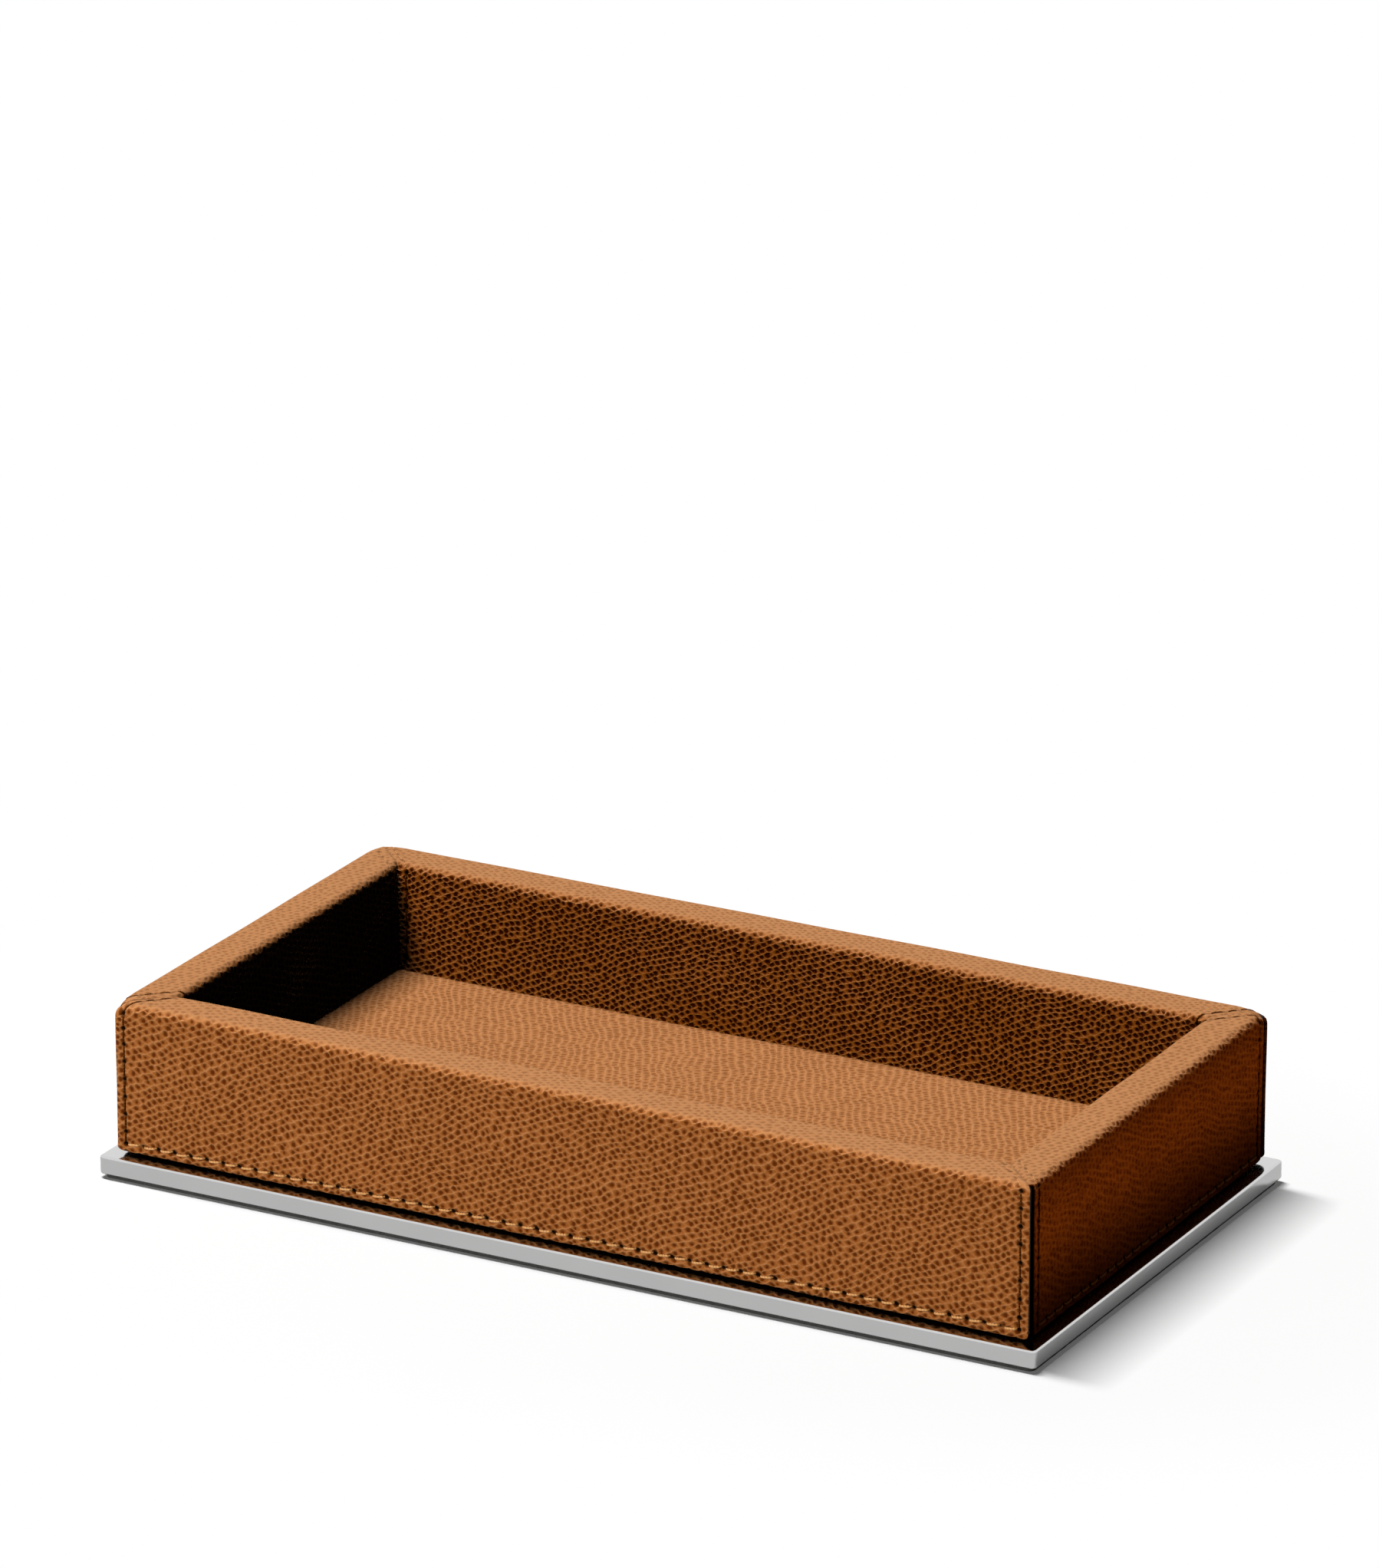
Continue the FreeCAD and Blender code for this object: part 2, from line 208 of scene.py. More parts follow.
def hoop_faces(rings, count):
    """Quads between each hoop of count points and the next, and a face across the first and the last."""
    hoop = np.arange(count)
    after = (hoop + 1) % count
    base = count * np.arange(rings - 1)[:, None]
    quads = np.stack([base + hoop, base + after, base + count + after, base + count + hoop], -1)
    ends = [hoop[::-1].tolist(), (count * (rings - 1) + hoop).tolist()]
    return quads.reshape(-1, 4).tolist() + ends


def new_piece(name, points, faces, material, crease, grain=None, marks=None):
    """An object from an array of points and a list of faces, smooth but for edges sharper than crease,
    with a place on the hide for each point, in millimetres, and named marks of how far each is treated."""
    mesh = bpy.data.meshes.new(name)
    mesh.from_pydata(points.reshape(-1, 3).tolist(), [], faces)
    if grain is not None:
        corners = np.empty(len(mesh.loops), np.int32)
        mesh.loops.foreach_get("vertex_index", corners)
        layer = mesh.uv_layers.new(name="grain")
        layer.data.foreach_set("uv", grain.reshape(-1, 2)[corners].astype(np.float32).ravel())
    for mark, amount in (marks or {}).items():
        layer = mesh.attributes.new(mark, "FLOAT", "POINT")
        layer.data.foreach_set("value", amount.astype(np.float32).ravel())
    mesh.shade_smooth()
    mesh.set_sharp_from_angle(angle=crease)
    mesh.materials.append(material)
    made = bpy.data.objects.new(name, mesh)
    bpy.context.scene.collection.objects.link(made)
    return made


def felt_finish():
    """Felt: matted fibres, seen as fine lumps with paler hairs in them, and no gloss."""
    material, wire, shader = new_finish("dark_felt")
    place = wire.place()
    mat = wire.noise(place, 900.0, 4.0)
    hairs = wire.noise(place, 2600.0, 2.0).step(0.58, 0.72)
    tint = (0.55 * mat + 0.6 * hairs).blend(colour(0.09, 0.089, 0.087), colour(0.24, 0.237, 0.23))
    wire.feed(shader, {"Base Color": tint, "Roughness": 0.95, "Specular IOR Level": 0.1,
                       "Normal": wire.bump(mat + 0.5 * hairs, 0.5 * MM)})
    return material


pad_low, pad_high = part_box("base_pad")
pad_points = rounded_slab(pad_high.x, pad_high.y, PAD_CORNER, pad_low.z, pad_high.z - PAD_SINK, PAD_EDGE,
                          PAD_COUNT, PAD_RINGS)
# Only the cut edge is hairy, not the rings of the flats.
hairs = np.random.default_rng(3).normal(0.0, PAD_HAIR, pad_points.shape[:2])
hairs[:PAD_RINGS + 1] = 0
hairs[-PAD_RINGS - 1:] = 0
pad_points[:, :, :2] += hairs[:, :, None] * np.sign(pad_points[:, :, :2])
pad_faces = hoop_faces(len(pad_points), PAD_COUNT)
base_pad = new_piece("felt_pad", pad_points, pad_faces, felt_finish(), CREASE)
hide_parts("base_pad")
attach(base_pad, "root")


# Base plate: flat bar of polished metal, cut to length with eased edges and corners. Its screw holes are
# under the felt, and its polish is fine enough to mirror the leather just above it.

PLATE_CORNER = 1.5 * MM
PLATE_EDGE = 0.7 * MM
PLATE_COUNT = 1600
PLATE_RINGS = 3


def plate_finish():
    """Polished metal: nearly a mirror, with faint long polishing marks and a few cloudy patches."""
    material, wire, shader = new_finish("polished_plate")
    place = wire.place()
    along = wire.node("ShaderNodeMapping", {}, {"Vector": place, "Scale": (30.0, 2400.0, 2400.0)})
    marks = wire.noise(along, 1.0, 3.0)
    clouds = wire.noise(place, 45.0, 2.0)
    tint = clouds.blend(colour(0.61, 0.61, 0.61), colour(0.67, 0.67, 0.665))
    wire.feed(shader, {"Base Color": tint, "Metallic": 1.0, "Roughness": 0.1 + 0.05 * marks + 0.02 * clouds,
                       "Normal": wire.bump(marks, 0.002 * MM)})
    return material


plate_low, plate_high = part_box("base_plate")
plate_points = rounded_slab(plate_high.x, plate_high.y, PLATE_CORNER, plate_low.z - PAD_SINK, plate_high.z,
                            PLATE_EDGE, PLATE_COUNT, PLATE_RINGS)
plate_faces = hoop_faces(len(plate_points), PLATE_COUNT)
base_plate = new_piece("metal_plate", plate_points, plate_faces, plate_finish(), CREASE)
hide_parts("base_plate")
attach(base_plate, "root")


# Screws: zinc-plated countersunk wood screws, driven up through the plate into the floor board
# before the felt is glued on, so nothing of them shows.


def screw_finish():
    """Zinc plate: pale metal with a slightly mottled, satin face."""
    material, wire, shader = new_finish("zinc_plated_screw")
    place = wire.place()
    mottle = wire.noise(place, 1400.0, 3.0)
    tint = mottle.blend(colour(0.5, 0.5, 0.48), colour(0.6, 0.6, 0.59))
    wire.feed(shader, {"Base Color": tint, "Metallic": 1.0, "Roughness": 0.3 + 0.2 * mottle})
    return material


def dress(node, material):
    """Gives one of the frame's own pieces this material in place of its plain one."""
    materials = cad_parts[node].data.materials
    materials.clear()
    materials.append(material)


dress("base_screws", screw_finish())


# Carcass: a floor board tongued into four mitred wall boards, with a plywood spline glued into each
# mitre. All of it is sanded, left bare and wrapped in leather.

# How far out the boards are painted black, as painted shade in the notch between the covers, and the fade to
# it.
NOTCH_SHADE_START_X = 141.0 * MM
NOTCH_SHADE_START_Y = 69.0 * MM
NOTCH_SHADE_FADE = 3.0 * MM


def wood_finish(name, early, late, stretch):
    """Bare wood: lines of grain drawn out along the board, darker in the late wood, with fine pores.
    It is painted black at the tray's outer corners, as painted shade for the notch between the covers, where
    it shows."""
    material, wire, shader = new_finish(name)
    place = wire.place()
    along = wire.node("ShaderNodeMapping", {}, {"Vector": place, "Scale": stretch})
    rings = wire.noise(along, 1.0, 4.0)
    pores = wire.noise(along, 9.0, 1.0).step(0.6, 0.75)
    tint = (rings.step(0.3, 0.7) * 0.8 + pores * 0.2).blend(early, late)
    far_x = wire.math("ABSOLUTE", place.axis(0))
    far_y = wire.math("ABSOLUTE", place.axis(1))
    # Painted shade: the board corners that show in the notch are painted black.
    ink_and_shade = far_x.step(NOTCH_SHADE_START_X, NOTCH_SHADE_START_X + NOTCH_SHADE_FADE)
    ink_and_shade = ink_and_shade * far_y.step(NOTCH_SHADE_START_Y, NOTCH_SHADE_START_Y + NOTCH_SHADE_FADE)
    tint = ink_and_shade.blend(tint, colour(0.004, 0.003, 0.003))
    wire.feed(shader, {"Base Color": tint, "Roughness": 0.7 + 0.1 * pores,
                       "Normal": wire.bump(0.0 - pores, 0.05 * MM)})
    return material


early_wood = colour(0.6, 0.42, 0.25)
late_wood = colour(0.46, 0.3, 0.16)
board_wood = wood_finish("bare_board", early_wood, late_wood, (12.0, 60.0, 160.0))
side_wood = wood_finish("bare_end_board", early_wood, late_wood, (60.0, 12.0, 160.0))
spline_wood = wood_finish("spline_plywood", colour(0.66, 0.5, 0.32), colour(0.56, 0.4, 0.24),
                          (150.0, 150.0, 20.0))
wooden = {"floor_board": board_wood, "front_board": board_wood, "back_board": board_wood,
          "left_board": side_wood, "right_board": side_wood,
          "front_left_spline": spline_wood, "front_right_spline": spline_wood,
          "back_left_spline": spline_wood, "back_right_spline": spline_wood}
for node, wood in wooden.items():
    dress(node, wood)


# Floor card: stiff grey board, cut to the floor of the well. The lining is turned down round its edges,
# and the two are pressed into the well together.


def card_finish():
    """Grey board: pressed waste paper, speckled with pale and dark fibres."""
    material, wire, shader = new_finish("grey_card")
    place = wire.place()
    specks = wire.noise(place, 1500.0, 4.0)
    tint = specks.step(0.35, 0.65).blend(colour(0.3, 0.275, 0.24), colour(0.41, 0.38, 0.335))
    wire.feed(shader, {"Base Color": tint, "Roughness": 0.9, "Normal": wire.bump(specks, 0.05 * MM)})
    return material


dress("floor_card", card_finish())


# Leather covers: one strip of tan pebble-grain hide to each wall, glued on. It is turned in under the
# foot, goes up the outer face, over the rounded rim and down to the floor of the well. Neighbours meet
# at the mitres of the rim and in the well, and are trimmed short down the outer corners, with inked edges.

# Sizes of the covers and the stitching are in millimetres.
LONG_HALF = 150.0
SHORT_HALF = 77.75
LEATHER = 1.2
LEATHER_CREASE = 0.9
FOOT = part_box("front_cover")[0].z / MM
RIM_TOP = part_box("front_cover")[1].z / MM
RIM_WIDTH = 13.8
RIM_ROUND = 2.2
HEM_ROUND = 1.6
HEM_TURN = 9.2
WELL_FOOT = 17.5
LONG_NOTCH = 0.2
SHORT_NOTCH = 2.9
FOOT_CORNER = 2.0
NOTCH_CLOSING = 1.6
TIP_DROP = 2.0
TIP_REACH = 4.5
TIP_FADE_OVER = 5.0
TIP_FADE_DOWN = 12.0
SEAM_GAP = 0.03
END_ZONE = 9.0
ROW_IN = 2.8
HEM_ROW_UP = 3.0
STITCH = 5.52
CORNER_START = 3.7
CORNER_END = 0.6
SECTION_SAMPLES = 40001
FLESH_STEP = 12
PIT_STEP = 2.42
PIT_ROW = 1.97
DENT_WIDTH = 0.6
CUT_WIDTH = 0.3
ROW_OVERRUN = 0.4
HOLE_UP = 0.15
MITRE_FADE = 0.4
GROOVE_DEPTH = 0.14
HOLE_DEPTH = 0.5
SEAM_DEPTH = 0.22
CUT_DEPTH = 0.25
WAVE_HEIGHT = 0.03
WAVE_RATES = (0.16, 0.2)
WAVE_COUNT = 10
WAVE_START = 9
SCALLOP_HEIGHT = 0.05
SCALLOP_UP = 1.5
SCALLOP_WIDTH = 1.8
HEM_SWELL = 0.12
HEM_SWELL_DOWN = 0.4
HEM_SWELL_WIDTH = 1.6
# The painted shade under the foot and in the holes, then the ink in the seams and on the cut edges.
FOOT_SHADE_UP = 0.45
FOOT_SHADE_FADE = 0.5
HOLE_SHADE = 2.2
SEAM_INK = 0.15
EDGE_INK = 0.1
EDGE_INK_NOTCH_SHARE = 0.1
# The part of each rounding of the rim, from its foot, where the grain begins to be rubbed and painted paler
# as a sheen, and where it is wholly so, and how far that takes from grooves, holes, their painted shade and
# the pits.
RUB_START = 0.2
RUB_FULL = 0.7
RUB_OFF_GROOVE = 0.75
RUB_OFF_HOLE = 0.6
RUB_OFF_HOLE_SHADE = 0.7
RUB_OFF_PITS = 0.62
RUB_CRESTS = 0.25
# How far up the outer rounding the right wall's streaks, darkened as painted shade, reach, the length that
# they fade out over, and how much they take from the pits.
STREAK_UP = 1.0
STREAK_FADE = 3.0
STREAK_OFF_PITS = 0.5
# The smoother edge of the well on the short walls: how far up its middle is, its width, and how much it
# takes from the pits. Then how far up the deeper pits inside, darker with painted shade, begin, and the
# length that they grow over.
WELL_EDGE_UP = 0.5
WELL_EDGE_WIDTH = 1.3
WELL_EDGE_OFF_PITS = 0.6
INSIDE_UP = 1.0
INSIDE_FADE = 2.0
FLOOR_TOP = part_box("floor_lining")[1].z / MM
# How much each outer corner of the rim is rounded off at its tip.
FRONT_LEFT_TIP = 1.2
FRONT_RIGHT_TIP = 0.3
BACK_RIGHT_TIP = 1.2
BACK_LEFT_TIP = 1.0
# Each wall's half length, its distance from the tray's middle, its quarter turns from the front, its notch
# and the tips at its left and right ends, seen from outside.
WALLS = {"front": (LONG_HALF, SHORT_HALF, 0, LONG_NOTCH, (FRONT_LEFT_TIP, FRONT_RIGHT_TIP)),
         "right": (SHORT_HALF, LONG_HALF, 1, SHORT_NOTCH, (FRONT_RIGHT_TIP, BACK_RIGHT_TIP)),
         "back": (LONG_HALF, SHORT_HALF, 2, LONG_NOTCH, (BACK_RIGHT_TIP, BACK_LEFT_TIP)),
         "left": (SHORT_HALF, LONG_HALF, 3, SHORT_NOTCH, (BACK_LEFT_TIP, FRONT_LEFT_TIP))}
# The slant of each wall's rows of grain in degrees, how fine they are, and how much deeper, and darker with
# painted shade, the pits are inside the well.
GRAIN_SLANT = {"front": 25.0, "right": -22.0, "back": 25.0, "left": -22.0}
GRAIN_FINENESS = {"front": 1.0, "right": 1.0, "back": 1.12, "left": 1.0}
INNER_DEPTH = {"front": 0.6, "right": 0.6, "back": 1.4, "left": 0.6}
HIDE_SHIFT = 400.0

rise = RIM_TOP - FOOT - HEM_ROUND - RIM_ROUND
fall = RIM_TOP - RIM_ROUND - WELL_FOOT
legs = [(HEM_TURN - HEM_ROUND, 0), (HEM_ROUND * np.pi / 2, -np.pi / 2), (rise, 0),
        (RIM_ROUND * np.pi / 2, -np.pi / 2), (RIM_WIDTH - 2 * RIM_ROUND, 0),
        (RIM_ROUND * np.pi / 2, -np.pi / 2), (fall, 0)]
bends = np.concatenate([[0.0], np.cumsum([leg[0] for leg in legs])])
section_run, section_place, section_heading = walk((HEM_TURN, FOOT), np.pi, legs, SECTION_SAMPLES)
hem_line = bends[2] + HEM_ROW_UP - HEM_ROUND
row_slant = np.gradient(section_place[:, 0], section_run)
row_length = np.cumsum(np.hypot(1.0, row_slant)) * (section_run[1] - section_run[0])
row_ends = np.interp([hem_line + CORNER_START, bends[6] + RIM_TOP - RIM_ROUND - FLOOR_TOP - CORNER_END],
                     section_run, row_length)
corner_holes = np.interp(np.arange(*row_ends, STITCH), row_length, section_run)
corner_holes = np.concatenate([[hem_line], corner_holes])


def section(run):
    """The leather seen end on, at each length run along it from its turned-in edge: how far in from
    the outer face it is, how high, and the direction that its grain side faces."""
    inward = np.interp(run, section_run, section_place[:, 0])
    height = np.interp(run, section_run, section_place[:, 1])
    heading = np.interp(run, section_run, section_heading)
    return inward, height, -np.sin(heading), np.cos(heading)


def hill(distance, width):
    """A bell curve, 1 at no distance and down to a third at width."""
    return np.exp(-(distance / width) ** 2)


def trim(run, notch):
    """How far the strip's end is cut back from the corner: by the notch up the outer face, and more round
    the foot's corner. Over the rim it isn't cut back, and meets its neighbour at the mitre."""
    above = np.clip(FOOT_CORNER - (section(run)[1] - FOOT), 0, FOOT_CORNER)
    foot = FOOT_CORNER - np.sqrt(FOOT_CORNER ** 2 - above ** 2)
    return (notch + foot) * np.clip(NOTCH_CLOSING * (bends[4] - run) / (bends[4] - bends[3]), 0, 1)


def end_setback(run, inward, notch):
    """How far past the mitre plane the strip's end lies at each run, with a hair's gap to its neighbour."""
    return np.maximum(trim(run, notch) - inward, 0.0) + SEAM_GAP


def tip_lean(run):
    """How far the leather is tucked in, and how far it drops, at the tip of a corner: as a quarter-round
    of TIP_DROP more does than the rim's own, fading out across the rim and down the outer face."""
    turn = np.clip((run - bends[3]) / (bends[4] - bends[3]), 0, 1) * np.pi / 2
    over = np.clip(1 - (run - bends[4]) / TIP_FADE_OVER, 0, 1)
    below = np.clip(1 - (bends[3] - run) / TIP_FADE_DOWN, 0, 1) ** 2
    return TIP_DROP * (1 - np.cos(turn)) * over, TIP_DROP * (1 - np.sin(turn)) * below


def across(half, run, inward, notch, tips, share, middle):
    """Places along the wall. Within END_ZONE of the mitre plane, share runs from the cut end (0) to the
    zone's limit (1), so its columns follow the mitre; between the zones, middle is squeezed to fit. Gives
    also how far each place is tucked in and drops towards the corners' tips, more or less by tips."""
    start = end_setback(run, inward, notch)
    zone = start + (END_ZONE - start) * share
    tuck, drop = tip_lean(run)
    tip = hill(zone, TIP_REACH)
    left = -(half - inward - tuck * tips[0] * tip - zone)
    centre = middle * (half - inward - END_ZONE) / (half - END_ZONE)
    right = (half - inward - tuck * tips[1] * tip - zone)[:, ::-1]
    along = np.concatenate([left, centre, right], 1)
    lean = np.concatenate([tips[0] * tip, np.zeros_like(centre), tips[1] * tip[:, ::-1]], 1)
    return along, tuck * lean, drop * lean


def stitch_line(half, notch):
    """The holes of a hem row, from the corner row at one end of the wall to that at the other."""
    reach = half - notch - ROW_IN
    count = int(round(2 * reach / STITCH))
    return np.linspace(-reach, reach, count + 1)


def near(value, marks):
    """The distance to the nearest of the marks."""
    return np.abs(value[..., None] - marks).min(-1)


def corner_row(run, inward, notch):
    """How far past the mitre plane the row beside a corner lies: ROW_IN from the cut end at the foot."""
    start = end_setback(run, inward, notch)
    return start + (END_ZONE - start) * ROW_IN / (END_ZONE - notch)


def rubbing_and_sheen(run):
    """How far the grain is stretched flat, rubbed and painted paler as a sheen: wholly on top of the rim,
    and evenly less down each of its two roundings, from RUB_FULL of the way up to none at RUB_START."""
    outer = (run - bends[3]) / (bends[4] - bends[3])
    inner = (bends[6] - run) / (bends[6] - bends[5])
    return np.clip((np.minimum(outer, inner) - RUB_START) / (RUB_FULL - RUB_START), 0, 1)


def long_waves(along, run, rates, count, seed):
    """The slow rise and fall of glued hide: a sum of cosine waves, each with a random part of the two
    rates, in radians to the millimetre, and a random start."""
    waves = np.zeros_like(along)
    for part_along, part_up, start in np.random.default_rng(seed).uniform(-1, 1, (count, 3)):
        slope = rates[0] * part_along * along + rates[1] * part_up * run
        waves = waves + np.cos(slope + WAVE_START * start)
    return waves


def relief(half, notch, run, along, inward, seed):
    """The grain side's height over the plain section, and its ink and painted shade. The leather is drawn
    down along its stitch rows and deep into each hole, rolls off at seams and cut edges, swells along the
    hem, and rises and falls a little all over. Painted shade darkens the holes and what is turned in under
    the foot, ink darkens the cut edges, and there is a little ink in the seams."""
    rubbed_and_sheen = rubbing_and_sheen(run)
    from_plane = half - inward - np.abs(along)
    from_edge = from_plane - end_setback(run, inward, notch)
    off_row = from_plane - corner_row(run, inward, notch)
    in_row = (run > hem_line - ROW_OVERRUN) & (run < corner_holes[-1] + ROW_OVERRUN)
    corner_hole = hill(np.hypot(off_row, near(run, corner_holes)), DENT_WIDTH)
    corner_groove = hill(off_row, DENT_WIDTH) * in_row * (1 - RUB_OFF_GROOVE * rubbed_and_sheen)
    in_hem = np.abs(along) < half - notch - ROW_IN + ROW_OVERRUN
    off_hem = run - hem_line
    hem_hole = np.hypot(off_hem - HOLE_UP, near(along, stitch_line(half, notch)))
    hem_hole = hill(hem_hole, DENT_WIDTH) * in_hem
    hem_groove = hill(off_hem, DENT_WIDTH) * in_hem
    mitred = 1 - np.clip((trim(run, notch) - inward) / MITRE_FADE, 0, 1)
    seam = hill(from_plane, DENT_WIDTH) * mitred
    cut = hill(from_edge, CUT_WIDTH) * (1 - mitred)
    pitch = 2 * np.pi / STITCH
    scallop = np.cos(pitch * (along + half)) * hill(run - bends[1] - SCALLOP_UP, SCALLOP_WIDTH)
    waves = long_waves(along, run, WAVE_RATES, WAVE_COUNT, seed)
    swelling = WAVE_HEIGHT * waves + SCALLOP_HEIGHT * scallop
    swelling = swelling + HEM_SWELL * hill(run - bends[2] + HEM_SWELL_DOWN, HEM_SWELL_WIDTH)
    hollows = np.maximum(corner_hole * (1 - RUB_OFF_HOLE * rubbed_and_sheen), hem_hole)
    height = (swelling - GROOVE_DEPTH * corner_groove - GROOVE_DEPTH * hem_groove - HOLE_DEPTH * hollows
              - SEAM_DEPTH * seam - CUT_DEPTH * cut)
    # Painted shade on what is turned in under the foot, and a little way up its rounding.
    under = np.clip((bends[1] + FOOT_SHADE_UP - run) / FOOT_SHADE_FADE, 0, 1)
    edge = hill(from_edge, EDGE_INK + EDGE_INK_NOTCH_SHARE * notch) * (1 - mitred)
    # Painted shade in the stitch holes, less of it on the rubbed rim.
    holes = np.maximum(corner_hole * (1 - RUB_OFF_HOLE_SHADE * rubbed_and_sheen), hem_hole)
    holes = np.clip(HOLE_SHADE * holes, 0, 1)
    ink_and_shade = np.maximum.reduce([holes, edge, SEAM_INK * seam, under + np.zeros_like(along)])
    return height, ink_and_shade


def to_wall(along, inward, height, depth, turns):
    """Points of a wall, given along it, in from its outer face and up, turned to its side of the tray."""
    out = inward - depth
    plan = [(along, out), (-out, along), (-along, -out), (out, -along)][turns]
    return np.stack([plan[0], plan[1], height], -1) * MM


def cover_points(half, depth, turns, notch, tips, run, share, middle, seed):
    """A strip's two sides as grids of run by place along the wall: the grain side with its relief, and
    the plain flesh side a leather's thickness under it, on one column in FLESH_STEP."""
    inward, height, face_in, face_up = section(run)
    flesh_in = inward - face_in * LEATHER
    flesh_along, tuck, drop = across(half, run, flesh_in, notch, tips, share, middle)
    flesh_side = to_wall(flesh_along, flesh_in + tuck, height - face_up * LEATHER - drop, depth, turns)
    along, tuck, drop = across(half, run, inward, notch, tips, share, middle)
    bump, ink_and_shade = relief(half, notch, run, along, inward + tuck, seed)
    grain_side = to_wall(along, inward + tuck + face_in * bump, height - drop + face_up * bump, depth, turns)
    keep = np.unique(np.append(np.arange(0, along.shape[1], FLESH_STEP), along.shape[1] - 1))
    return grain_side, flesh_side[:, keep], keep, along, ink_and_shade


def strip_faces(rows, columns, keep):
    """The faces of a strip: quads on the grain side and, turned over, on the flesh side, quads up both
    ends, and along the two long edges a face for each flesh column with its grain columns."""
    front = np.arange(rows * columns).reshape(rows, columns)
    rear = rows * columns + np.arange(rows * len(keep)).reshape(rows, len(keep))
    quads = [np.stack([front[:-1, :-1], front[:-1, 1:], front[1:, 1:], front[1:, :-1]], -1),
             np.stack([rear[:-1, :-1], rear[1:, :-1], rear[1:, 1:], rear[:-1, 1:]], -1),
             np.stack([front[:-1, :1], front[1:, :1], rear[1:, :1], rear[:-1, :1]], -1),
             np.stack([front[:-1, -1:], rear[:-1, -1:], rear[1:, -1:], front[1:, -1:]], -1)]
    faces = np.concatenate([quad.reshape(-1, 4) for quad in quads]).tolist()
    for part, (first, last) in enumerate(zip(keep[:-1], keep[1:])):
        faces.append(front[0, first:last + 1][::-1].tolist() + rear[0, part:part + 2].tolist())
        faces.append(front[-1, first:last + 1].tolist() + rear[-1, part:part + 2][::-1].tolist())
    return faces


def on_hide(along, run, angle, shift):
    """Places on the hide, in millimetres, with the grain's rows along the first axis."""
    turn = np.radians(angle)
    first = along * np.cos(turn) + run * np.sin(turn) + shift
    second = run * np.cos(turn) - along * np.sin(turn) + 1.7 * shift
    return np.stack([first, second], -1)


